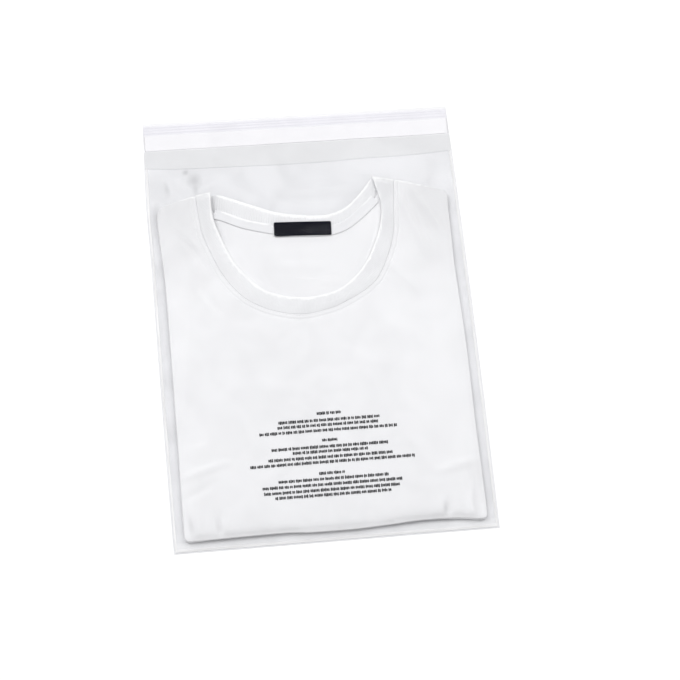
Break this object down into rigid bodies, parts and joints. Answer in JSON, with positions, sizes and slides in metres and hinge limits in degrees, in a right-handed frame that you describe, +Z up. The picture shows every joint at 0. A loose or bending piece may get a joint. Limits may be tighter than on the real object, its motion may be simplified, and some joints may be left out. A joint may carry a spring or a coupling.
{
  "type": "clear self-seal poly bag with a folded t-shirt",
  "caption": "Clear flat poly bag with welded sides, a self-seal lip with adhesive strip and peel-off liner, holding a folded white crew-neck shirt.",
  "frame": {"origin": "centre of the bag's footprint on the underside of the back panel, as it lies on its back", "axes": "+Z up through the front panel, +Y towards the open lip, +X to the right seen from the front"},
  "size_m": [0.28, 0.4, 0.011],
  "materials": {
    "film": "clear glossy polypropylene film, slightly cool and hazy",
    "adhesive": "opaque white pressure-sensitive adhesive",
    "liner": "translucent white peel-off film",
    "jersey": "white single-jersey cotton knit, matte",
    "rib": "white 1x1 rib knit, matte",
    "tape": "white herringbone neck tape, matte",
    "label": "blank black woven label"
  },
  "bodies": {
    "root": {"bag_film": "film", "adhesive_strip": "adhesive", "release_liner": "liner", "shirt_body": "jersey", "neck_rib": "rib", "neck_tape": "tape", "neck_label": "label"}
  },
  "joints": []
}
